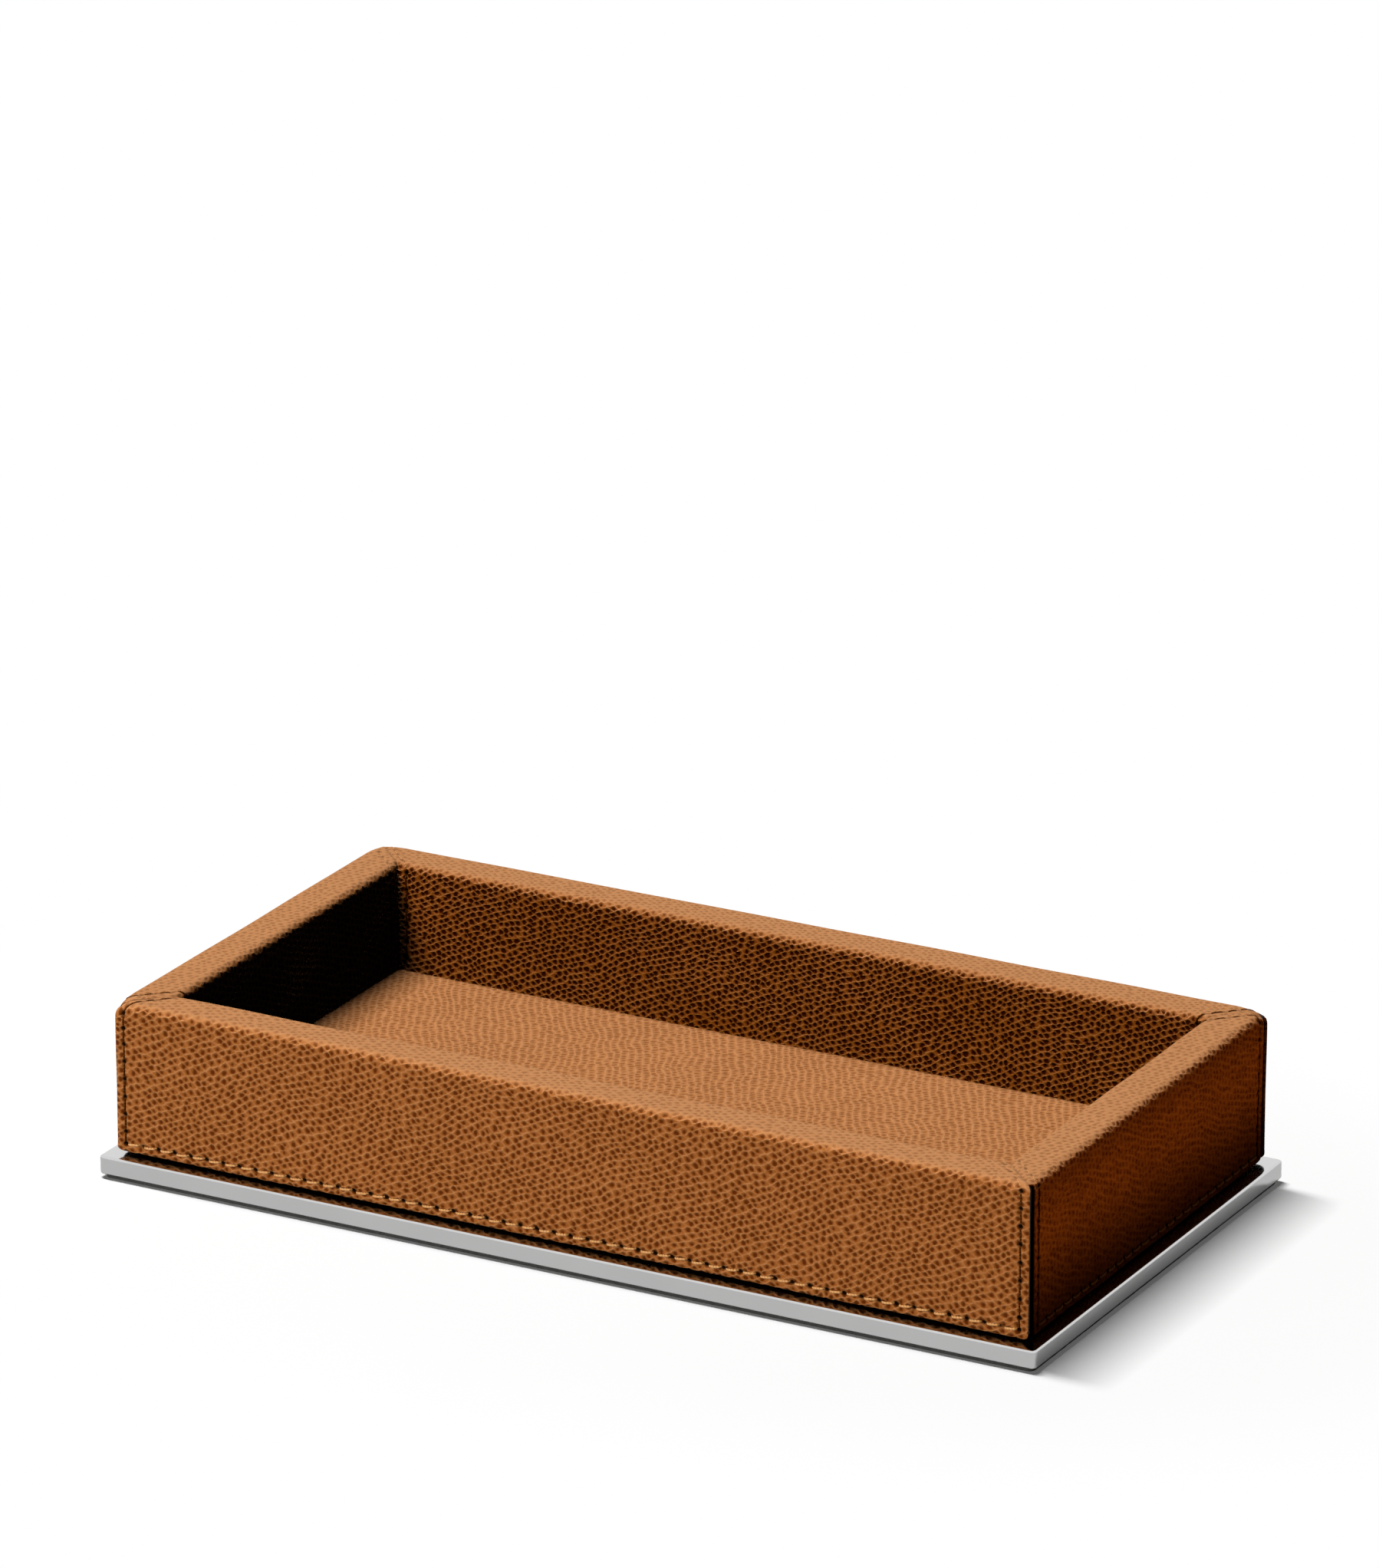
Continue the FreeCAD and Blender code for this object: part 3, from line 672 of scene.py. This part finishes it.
def leather_finish():
    """Tan pebble-grain hide, quite matt: pits in wavering slanted rows with a net of fine ridges round them,
    and where it is creased, long crests between the rows or short streaks along them. The pits are darker,
    partly dye gathered in them and partly painted shade, and nearly black with painted shade in the deepest.
    Ridges and crest tops are painted paler as highlights, troughs between crests and the streaks darker as
    painted shade, and rubbed places are worn and painted paler as a sheen. It is clouded. Ink darkens the
    cut edges and seams, and painted shade the holes and what is turned in under the foot."""
    material, wire, shader = new_finish("tan_leather")
    material.cycles.use_bump_map_correction = False
    place = wire.node("ShaderNodeUVMap", {"uv_map": "grain"}, {})
    drift = wire.noise(place, 0.045, 1.0, 1)
    drift = wire.node("ShaderNodeVectorMath", {"operation": "MULTIPLY_ADD"},
                      {0: drift, 1: (5.0, 5.0, 0.0), 2: place})
    jitter = wire.noise(place, 0.3, 1.0, 1)
    flow = wire.node("ShaderNodeVectorMath", {"operation": "MULTIPLY_ADD"},
                     {0: jitter, 1: (0.9, 0.9, 0.0), 2: drift})
    along = flow.axis(0) / PIT_STEP
    row = flow.axis(1) / PIT_ROW
    column = along + 0.5 * row
    lattice = wire.node("ShaderNodeCombineXYZ", {}, {"X": column, "Y": row})
    cells = {"voronoi_dimensions": "2D"}
    setting = {"Vector": lattice, "Scale": 1.0, "Randomness": 0.4}
    pit_place = wire.node("ShaderNodeTexVoronoi", cells, setting, "Position")
    chance = wire.node("ShaderNodeSeparateColor", {},
                       {"Color": wire.node("ShaderNodeTexVoronoi", cells, setting, "Color")})
    off_row = row - pit_place.axis(1)
    off_column = column - pit_place.axis(0) - 0.5 * off_row
    across_row = PIT_ROW * off_row
    along_row = PIT_STEP * off_column
    distance = wire.math("SQRT", across_row * across_row + along_row * along_row)
    wobble = wire.noise(place, 1.0, 2.0)
    reach = distance + 0.7 * (wobble - 0.5) - 0.3 * (chance - 0.5)
    bowl = reach.step(1.15, 0.2)
    pit = 0.35 * bowl + 0.65 * reach.step(0.8, 0.25)
    border = wire.node("ShaderNodeTexVoronoi", {"voronoi_dimensions": "2D", "feature": "DISTANCE_TO_EDGE"},
                       setting, "Distance")
    ridge = border.step(0.2, 0.02) * (0.5 + 0.5 * wire.noise(place, 0.5, 1.0).step(0.35, 0.6))
    ridge = ridge * (0.5 + 0.5 * wire.math("ABSOLUTE", off_row).step(0.2, 0.42))
    wander = 1.3 * wire.noise(place, 0.16, 2.0) - 1.4
    crest = 0.5 + 0.5 * wire.math("COSINE", (row + wander) * (2 * np.pi))
    crest = crest * (0.2 + 0.8 * wire.noise(place, 0.25, 2.0).step(0.36, 0.62))
    fine = wire.noise(place, 2.2, 3.0)
    specks = wire.noise(place, 1.3, 1.0).step(0.54, 0.66)
    drawn = wire.node("ShaderNodeMapping", {}, {"Vector": flow, "Scale": (0.13, 0.65, 1.0)})
    streak = wire.noise(drawn, 1.0, 1.6).step(0.43, 0.6)
    cloud = wire.noise(place, 0.035, 3.0)
    rubbed_and_sheen = wire.mark("rubbed_and_sheen")
    deep = wire.mark("pitted")
    crests = wire.mark("crests")
    streaks = wire.mark("streaks")
    height = deep * (0.09 * ridge - 0.36 * bowl) + crests * crest * 0.14
    height = height - streaks * streak * 0.08 + 0.05 * fine
    face = cloud.step(0.3, 0.7).blend(colour(0.392, 0.15, 0.0425), colour(0.45, 0.1765, 0.054))
    # Where rubbed, paler: part wear, part a painted sheen.
    pale = rubbed_and_sheen.blend(face, colour(0.462, 0.222, 0.0955))
    # Painted highlight: the ridges and the crest tops are paler.
    painted_highlight = wire.math("MINIMUM", deep, 1.3) * ridge * 0.95
    painted_highlight = wire.math("MAXIMUM", painted_highlight, crests * crest * 0.4)
    ridged = painted_highlight.blend(pale, colour(0.65, 0.335, 0.165))
    # Darker pits, partly dye and partly painted shade; the troughs between crests and the streaks are
    # painted shade.
    dye_and_painted_shade = deep * pit * 0.9 + crests * (1.0 - crest) * (0.06 + 0.14 * specks)
    dye_and_painted_shade = dye_and_painted_shade + streaks * streak * (0.25 + 0.35 * specks)
    pitted = dye_and_painted_shade.blend(ridged, colour(0.123, 0.025, 0.0018))
    # Painted shade: inside the well the deepest pits go nearly black, most on the back wall.
    pitted = ((deep - 1.0) * pit * 0.35).blend(pitted, colour(0.02, 0.004, 0.0003))
    # Ink on the cut edges and seams; painted shade in the holes and under the foot.
    inked_and_shaded = wire.mark("ink_and_shade").blend(pitted, colour(0.008, 0.004, 0.002))
    wire.feed(shader, {"Base Color": inked_and_shaded, "Roughness": 0.55 + 0.14 * pit + 0.1 * fine,
                       "Specular IOR Level": 0.0, "Normal": wire.bump(height, MM)})
    return material


tan_leather = leather_finish()
# Rows and columns lie close together across each stitch hole, and further apart between holes.
hole_steps = np.array([-0.5, -0.25, 0.0, 0.25, 0.5])
gap_steps = np.array([0.25, 0.42, 0.58, 0.75])
end_columns = np.array([0, 0.15, 0.4, 0.8, 1.3, 1.9, 2.3, 2.55, 2.8, 3.05, 3.3, 3.7, 4.5, 5.6, 6.7])
between = np.concatenate([corner_holes[:-1] + f * np.diff(corner_holes) for f in (0.22, 0.4, 0.6, 0.78)])
rows = np.concatenate([np.linspace(0, bends[1], 4), np.linspace(bends[1], hem_line - 0.6, 9),
                       (corner_holes[:, None] + hole_steps).ravel(), between,
                       np.arange(bends[3], bends[6], 0.5), np.linspace(corner_holes[-1] + 1, bends[7], 5)])
rows = np.sort(rows)
rows = rows[np.append(True, np.diff(rows) > 0.14)][:, None]
for wall_number, (wall, (half, depth, turns, notch, tips)) in enumerate(WALLS.items()):
    hem_holes = stitch_line(half, notch)[1:-1]
    hem_gap = hem_holes[1] - hem_holes[0]
    steps = np.concatenate([hole_steps, gap_steps * hem_gap])
    middle = np.sort((hem_holes[:, None] + steps).ravel())
    limit = half - END_ZONE
    middle = np.concatenate([[-limit], middle[np.abs(middle) < limit - 0.2], [limit]])[None]
    ends = end_columns / (END_ZONE - notch)
    ends = ends[ends < 0.95][None]
    grain_side, flesh_side, keep, along, ink_and_shade = cover_points(
        half, depth, turns, notch, tips, rows, ends, middle, 20 + wall_number)
    points = np.concatenate([grain_side.reshape(-1, 3), flesh_side.reshape(-1, 3)])
    faces = strip_faces(*grain_side.shape[:2], keep)
    hide = on_hide(along, rows + np.zeros_like(along), GRAIN_SLANT[wall], HIDE_SHIFT * wall_number)
    hide = hide * GRAIN_FINENESS[wall]
    hide = np.concatenate([hide.reshape(-1, 2), hide[:, keep].reshape(-1, 2)])
    rubbed_and_sheen = rubbing_and_sheen(rows)
    streaks = (wall == "right") * np.clip((bends[3] + STREAK_UP - rows) / STREAK_FADE, 0, 1)
    well_edge = (half == SHORT_HALF) * hill(rows - bends[6] + WELL_EDGE_UP, WELL_EDGE_WIDTH)
    inside = np.clip((rows - bends[6] + INSIDE_UP) / INSIDE_FADE, 0, 1)
    pitted = (1 - RUB_OFF_PITS * rubbed_and_sheen) * (1 - STREAK_OFF_PITS * streaks)
    pitted = pitted * (1 - WELL_EDGE_OFF_PITS * well_edge) * (1 + INNER_DEPTH[wall] * inside)
    marks = {"ink_and_shade": ink_and_shade, "rubbed_and_sheen": rubbed_and_sheen, "pitted": pitted, "crests": RUB_CRESTS * rubbed_and_sheen,
             "streaks": streaks}
    marks = {mark: np.append(amount + np.zeros_like(along), np.ones(flesh_side[..., 0].size))
             for mark, amount in marks.items()}
    cover = new_piece(wall + "_leather", points, faces, tan_leather, LEATHER_CREASE, hide, marks)
    # Out of scattered light, so that the walls in shade take no glow from the lit ones.
    cover.visible_diffuse = False
    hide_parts(wall + "_cover")
    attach(cover, "root")


# Floor lining: a sheet of the same hide turned down round the floor card and pressed into the well.
# It lies nearly flat, with a soft edge where it meets the walls.

LINING_CORNER = 1.4 * MM
LINING_EDGE = 1.0 * MM
LINING_COUNT = 520
LINING_RINGS = 24
LINING_SLANT = -61.0
LINING_SHIFT = 2000.0
LINING_STRETCH = np.array([1.25, 0.86])
LINING_LOWER = 0.12 * MM
LINING_WAVE = 0.03 * MM
LINING_WAVE_RATES = (0.1, 0.13)
LINING_WAVE_COUNT = 8

lining_low, lining_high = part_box("floor_lining")
lining_points = rounded_slab(lining_high.x, lining_high.y, LINING_CORNER, lining_low.z, lining_high.z,
                             LINING_EDGE, LINING_COUNT, LINING_RINGS)
plan_x = lining_points[..., 0] / MM
plan_y = lining_points[..., 1] / MM
swell = long_waves(plan_x, plan_y, LINING_WAVE_RATES, LINING_WAVE_COUNT, 31)
top_share = np.clip((lining_points[..., 2] - lining_high.z + LINING_EDGE) / LINING_EDGE, 0, 1)
lining_points[..., 2] -= (LINING_LOWER + LINING_WAVE * swell) * top_share
lining_hide = on_hide(plan_x, plan_y, LINING_SLANT, LINING_SHIFT) * LINING_STRETCH
# The lining is half rubbed, so worn and painted paler as a sheen, with painted highlights on its crests.
lining_marks = {"ink_and_shade": 0.0, "rubbed_and_sheen": 0.45, "pitted": 0.5, "crests": 0.7, "streaks": 0.0}
lining_marks = {mark: np.full(plan_x.size, amount) for mark, amount in lining_marks.items()}
lining_faces = hoop_faces(len(lining_points), LINING_COUNT)
lining = new_piece("floor_leather", lining_points, lining_faces, tan_leather, CREASE, lining_hide,
                   lining_marks)
lining.visible_diffuse = False
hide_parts("floor_lining")
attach(lining, "root")


# Stitching: waxed tan thread, saddle stitched by hand through pricked holes. A row runs along each hem,
# and one up each end of each wall, over the rim beside the mitre and down into the well.

HEM_THREAD = 0.39
HEM_INSET = 0.75
HEM_SHORTER = 1.4
HEM_LOW = 0.22
HEM_TILT = 0.45
HEM_WANDER = 0.07
HEM_DIVE = 0.95
HEM_PROUD = 0.24
CORNER_THREAD = 0.3
CORNER_INSET = 0.5
CORNER_TILT = 0.15
CORNER_WANDER = 0.06
CORNER_DIVE = 0.6
CORNER_SINK = 0.03
RIM_SINK = 0.17
THREAD_TAPER = 0.3
THREAD_FLAT = 0.85
THREAD_LAY = 1.1
RINGS = 9
ROUND = 7


def thread_finish(name, low, high):
    """Waxed thread: two plies laid together, seen as slanting bands, with darker lays between them."""
    material, wire, shader = new_finish(name)
    place = wire.node("ShaderNodeUVMap", {"uv_map": "grain"}, {})
    length = place.axis(0)
    around = place.axis(1)
    lay = 0.5 + 0.5 * wire.math("COSINE", (length / THREAD_LAY + around) * (2 * np.pi))
    fibre = wire.noise(place, 3.0, 2.0)
    tint = (lay * 0.7 + fibre * 0.3).blend(low, high)
    wire.feed(shader, {"Base Color": tint, "Roughness": 0.5 + 0.1 * fibre, "Specular IOR Level": 0.0,
                       "Normal": wire.bump(lay + 0.3 * fibre, 0.12 * MM)})
    return material


def stitch_tubes(centre, face, thread):
    """Short tubes of thread: each centre line of RINGS points carries hoops of ROUND points, set out by
    the leather's facing direction and the direction across the thread, and thinner towards the ends."""
    direction = np.gradient(centre, axis=1)
    direction /= np.linalg.norm(direction, axis=-1, keepdims=True)
    side = np.cross(direction, face)
    side /= np.linalg.norm(side, axis=-1, keepdims=True)
    up = np.cross(side, direction)
    turn = np.linspace(0, 2 * np.pi, ROUND, endpoint=False)
    end = np.abs(np.linspace(-1, 1, RINGS))[None, :, None, None]
    radius = thread * MM * (1 - THREAD_TAPER * end ** 4)
    hoop = np.cos(turn)[:, None] * side[:, :, None]
    hoop = hoop + THREAD_FLAT * np.sin(turn)[:, None] * up[:, :, None]
    return centre[:, :, None] + radius * hoop


def stitch_path(depth, turns, along, run, tuck, drop, sink):
    """Centre lines at places along a wall and runs up its leather, tucked in and dropped with it, and sunk
    below the grain side by sink."""
    inward, height, face_in, face_up = section(run)
    zero = np.zeros_like(run)
    centre = to_wall(along, inward + tuck - face_in * sink, height - drop - face_up * sink, depth, turns)
    face = to_wall(zero, face_in + depth, face_up, depth, turns) / MM
    return centre, face


def sew(name, lines, thread, material):
    """One piece from lists of centre lines and facings, each tube closed at both ends."""
    centre = np.concatenate([line[0] for line in lines])
    face = np.concatenate([line[1] for line in lines])
    tubes = stitch_tubes(centre, face, thread)
    block = np.array(hoop_faces(RINGS, ROUND)[:-2])
    starts = RINGS * ROUND * np.arange(len(tubes))[:, None, None]
    faces = (block[None] + starts).reshape(-1, 4).tolist()
    caps = np.array([np.arange(ROUND)[::-1], (RINGS - 1) * ROUND + np.arange(ROUND)])
    faces += (caps[None] + starts).reshape(-1, ROUND).tolist()
    length = np.broadcast_to(np.linspace(0, STITCH, RINGS)[None, :, None], tubes.shape[:3])
    around = np.broadcast_to(np.linspace(0, 1, ROUND, endpoint=False), tubes.shape[:3])
    made = new_piece(name, tubes, faces, material, CREASE, np.stack([length, around], -1))
    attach(made, "root")


tan_thread = thread_finish("tan_thread", colour(0.9, 0.5, 0.24), colour(0.99, 0.67, 0.38))
# The corner rows take a dark copy of the tan thread, painted shade for their sunk grooves, and a less dark
# copy over the rim at two corners.
shaded_thread = thread_finish("shaded_thread", colour(0.06, 0.02, 0.005), colour(0.17, 0.065, 0.018))
rim_thread = thread_finish("rim_thread", colour(0.46, 0.21, 0.085), colour(0.66, 0.34, 0.15))
share = np.linspace(0, 1, RINGS)[None]
dive = np.abs(2 * share - 1) ** 5
for wall_number, (wall, (half, depth, turns, notch, tips)) in enumerate(WALLS.items()):
    chance = np.random.default_rng(50 + wall_number)
    holes = stitch_line(half, notch)
    gap = holes[1] - holes[0]
    wander = chance.normal(0, HEM_WANDER, (len(holes) - 1, 1))
    along = holes[:-1, None] + HEM_INSET + (gap - HEM_SHORTER) * share
    run = hem_line - HEM_LOW + HEM_TILT * share + wander
    hem = stitch_path(depth, turns, along, run, 0.0, 0.0, HEM_DIVE * dive - HEM_PROUD)
    sew(wall + "_hem_stitches", [hem], HEM_THREAD, tan_thread)
    # Over the rim at the front right and back left corners, the rows take the paler copy of the thread, with
    # less painted shade.
    pale_end = 1 if half == LONG_HALF else -1
    brown = []
    pale = []
    for end in (-1, 1):
        spans = np.diff(corner_holes)[:, None]
        run = corner_holes[:-1, None] + CORNER_INSET + (spans - 2 * CORNER_INSET) * share
        inward = section(run)[0]
        row = corner_row(run, inward, notch)
        tuck, drop = tip_lean(run)
        tuck = tuck * hill(row, TIP_REACH) * tips[end > 0]
        drop = drop * hill(row, TIP_REACH) * tips[end > 0]
        lean = CORNER_TILT * (share - 0.5) + chance.normal(0, CORNER_WANDER, (len(spans), 1))
        stitch_middle = run[:, RINGS // 2]
        is_pale = (stitch_middle > bends[3]) & (stitch_middle < bends[6]) & (end == pale_end)
        sink = CORNER_DIVE * dive + CORNER_SINK + RIM_SINK * is_pale[:, None]
        place = end * (half - inward - tuck - row - lean)
        centre, face = stitch_path(depth, turns, place, run, tuck, drop, sink)
        brown.append((centre[~is_pale], face[~is_pale]))
        pale.append((centre[is_pale], face[is_pale]))
    sew(wall + "_corner_stitches", brown, CORNER_THREAD, shaded_thread)
    sew(wall + "_rim_stitches", pale, CORNER_THREAD, rim_thread)


# Studio: a pale floor that goes to white, a large soft lamp above and to the left, a small warm one that
# rakes down into the well from the front, low strips in front, behind and, faintly, at the right, a dim
# room, and the camera at the photograph's angle.


def floor_finish():
    """A pale sheet: white to the camera, a little less so in reflections, and dim to scattered light."""
    material, wire, shader = new_finish("studio_floor")
    path = wire.ray("Is Camera Ray")
    gloss = wire.math("MAXIMUM", wire.ray("Is Glossy Ray"), wire.ray("Is Transmission Ray"))
    gloss = gloss * wire.math("LESS_THAN", wire.ray("Ray Depth"), 1.5)
    dim = gloss.blend(colour(0.05, 0.02, 0.006), colour(0.7, 0.7, 0.7))
    sheet_tint = path.blend(dim, colour(1.0, 1.0, 1.0))
    wire.feed(shader, {"Base Color": sheet_tint, "Roughness": 1.0, "Specular IOR Level": 0.0})
    place = wire.place()
    plan = wire.node("ShaderNodeMapping", {}, {"Vector": place, "Scale": (1.0, 1.6, 1.0)})
    away = wire.node("ShaderNodeVectorMath", {"operation": "LENGTH"}, {0: plan}, "Value")
    glow = wire.node("ShaderNodeEmission", {}, {"Color": sheet_tint, "Strength": 1.0})
    outer = away.step(0.2, 0.32)
    far = (0.1 + 0.9 * outer) * path + (0.08 + 0.92 * outer) * gloss
    sheet = wire.node("ShaderNodeMixShader", {}, {0: far, 1: Wire(wire.tree, shader.outputs[0]), 2: glow})
    wire.feed(wire.tree.nodes["Material Output"], {"Surface": sheet})
    return material


FLOOR_HALF = 6.0
floor_points = FLOOR_HALF * np.array([[-1, -1, 0], [1, -1, 0], [1, 1, 0], [-1, 1, 0]], float)
floor = new_piece("floor", floor_points, [[0, 1, 2, 3]], floor_finish(), CREASE)

world = bpy.data.worlds.new("room")
world.use_nodes = True
bpy.context.scene.world = world
room = Wire(world.node_tree)
mirrored = room.math("MAXIMUM", room.ray("Is Glossy Ray"), room.ray("Is Transmission Ray"))
mirrored = mirrored * room.math("LESS_THAN", room.ray("Ray Depth"), 2.5)
seen = room.math("MAXIMUM", room.ray("Is Camera Ray"), mirrored)
walls = seen.blend(colour(0.004, 0.004, 0.004), colour(1.0, 1.0, 1.0))
room.feed(world.node_tree.nodes["Background"], {"Color": walls})


def add_lamp(name, place, aim, size, level, tint, spread=180.0):
    """A rectangular soft lamp at place, facing aim, that lights a surface facing it at aim by level, where
    1 shows a white surface as white."""
    away = Vector(place) - Vector(aim)
    lamp = bpy.data.lights.new(name, "AREA")
    lamp.shape = "RECTANGLE"
    lamp.size = size[0]
    lamp.size_y = size[1]
    lamp.energy = level * np.pi ** 2 * away.length_squared
    lamp.color = tint
    lamp.spread = np.radians(spread)
    made = bpy.data.objects.new(name, lamp)
    made.location = place
    made.rotation_euler = away.to_track_quat("Z", "Y").to_euler()
    made.visible_glossy = False
    bpy.context.scene.collection.objects.link(made)
    return made


TRAY_MIDDLE = (0.0, 0.0, 0.03)
RIGHT_WALL = (0.15, 0.0, 0.041)
add_lamp("key_lamp", place=(-1.5, 0.2, 6.0), aim=TRAY_MIDDLE, size=(0.6, 2.8), level=1.045,
         tint=(1.0, 1.0, 1.0))
rake = add_lamp("rake_lamp", place=(-0.5, -2.3, 1.3), aim=TRAY_MIDDLE, size=(0.5, 0.5), level=0.39,
                tint=(1.0, 0.56, 0.1))
add_lamp("front_lamp", place=(-0.5, -1.5, 0.05), aim=TRAY_MIDDLE, size=(0.6, 0.1), level=0.37,
         tint=(0.95, 1.0, 0.97))
add_lamp("right_lamp", place=(0.45, 0.0, 0.041), aim=RIGHT_WALL, size=(0.3, 0.028), level=0.0073,
         tint=(1.0, 0.42, 0.06), spread=9.0)
add_lamp("back_lamp", place=(-0.35, 1.5, 0.03), aim=TRAY_MIDDLE, size=(0.9, 0.06), level=0.42,
         tint=(1.0, 0.94, 0.74))

# The raking lamp is flagged off the floor and the felt, so that the shadow on the floor stays neutral.
unraked = bpy.data.collections.new("unraked")
unraked.objects.link(floor)
unraked.objects.link(base_pad)
for entry in unraked.collection_objects:
    entry.light_linking.link_state = "EXCLUDE"
rake.light_linking.receiver_collection = unraked

CAMERA_AZIMUTH = np.radians(28.474)
CAMERA_HEIGHT_ANGLE = np.radians(19.757)
CAMERA_DISTANCE = 2.81107
CAMERA_RAISE = 0.11065
CAMERA_LEFT = 0.000326
CAMERA_TARGET = np.array([0.0, 0.0, 0.0062])
CAMERA_LENS = 219.35
right = np.array([np.cos(CAMERA_AZIMUTH), np.sin(CAMERA_AZIMUTH), 0.0])
back = np.array([np.sin(CAMERA_AZIMUTH) * np.cos(CAMERA_HEIGHT_ANGLE),
                 -np.cos(CAMERA_AZIMUTH) * np.cos(CAMERA_HEIGHT_ANGLE), np.sin(CAMERA_HEIGHT_ANGLE)])
up = np.cross(back, right)
camera = bpy.data.objects.new("camera", bpy.data.cameras.new("camera"))
camera.data.lens = CAMERA_LENS
place = np.eye(4)
place[:3, 0] = right
place[:3, 1] = up
place[:3, 2] = back
place[:3, 3] = CAMERA_TARGET + CAMERA_DISTANCE * back + CAMERA_RAISE * up - CAMERA_LEFT * right
camera.matrix_world = place.T.tolist()
bpy.context.scene.collection.objects.link(camera)
bpy.context.scene.camera = camera
bpy.context.scene.view_settings.view_transform = "Standard"
